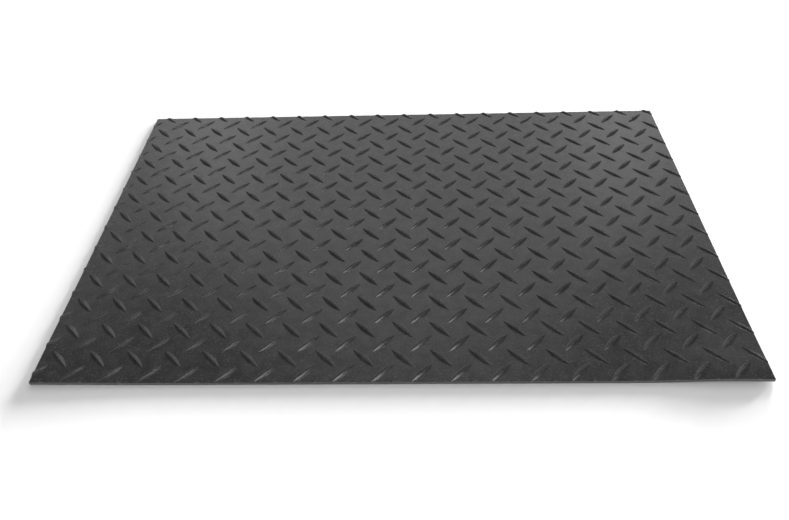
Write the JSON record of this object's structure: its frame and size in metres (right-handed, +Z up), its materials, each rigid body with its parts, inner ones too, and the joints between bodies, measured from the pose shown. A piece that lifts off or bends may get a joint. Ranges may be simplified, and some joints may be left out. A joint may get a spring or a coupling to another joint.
{
  "type": "diamond tread floor mat",
  "caption": "Thin rubber mat with a diamond tread of raised pointed lugs over a cloth insert, cut with square edges and laid flat on a floor to stand or set equipment on.",
  "frame": {"origin": "centre of the underside, which lies on the floor", "axes": "+Z up out of the tread, +X along the long side, +Y across the mat towards the far long side"},
  "size_m": [0.9144, 0.6096, 0.0063],
  "materials": {
    "tread_rubber": "satin moulded black rubber with a fine press grain",
    "insert_cloth": "square-woven cloth filled with black rubber",
    "backing_rubber": "dull black rubber with a cloth-pressed underside"
  },
  "bodies": {
    "root": {"tread_sheet": "tread_rubber", "cloth_insert": "insert_cloth", "backing_sheet": "backing_rubber"}
  },
  "joints": []
}
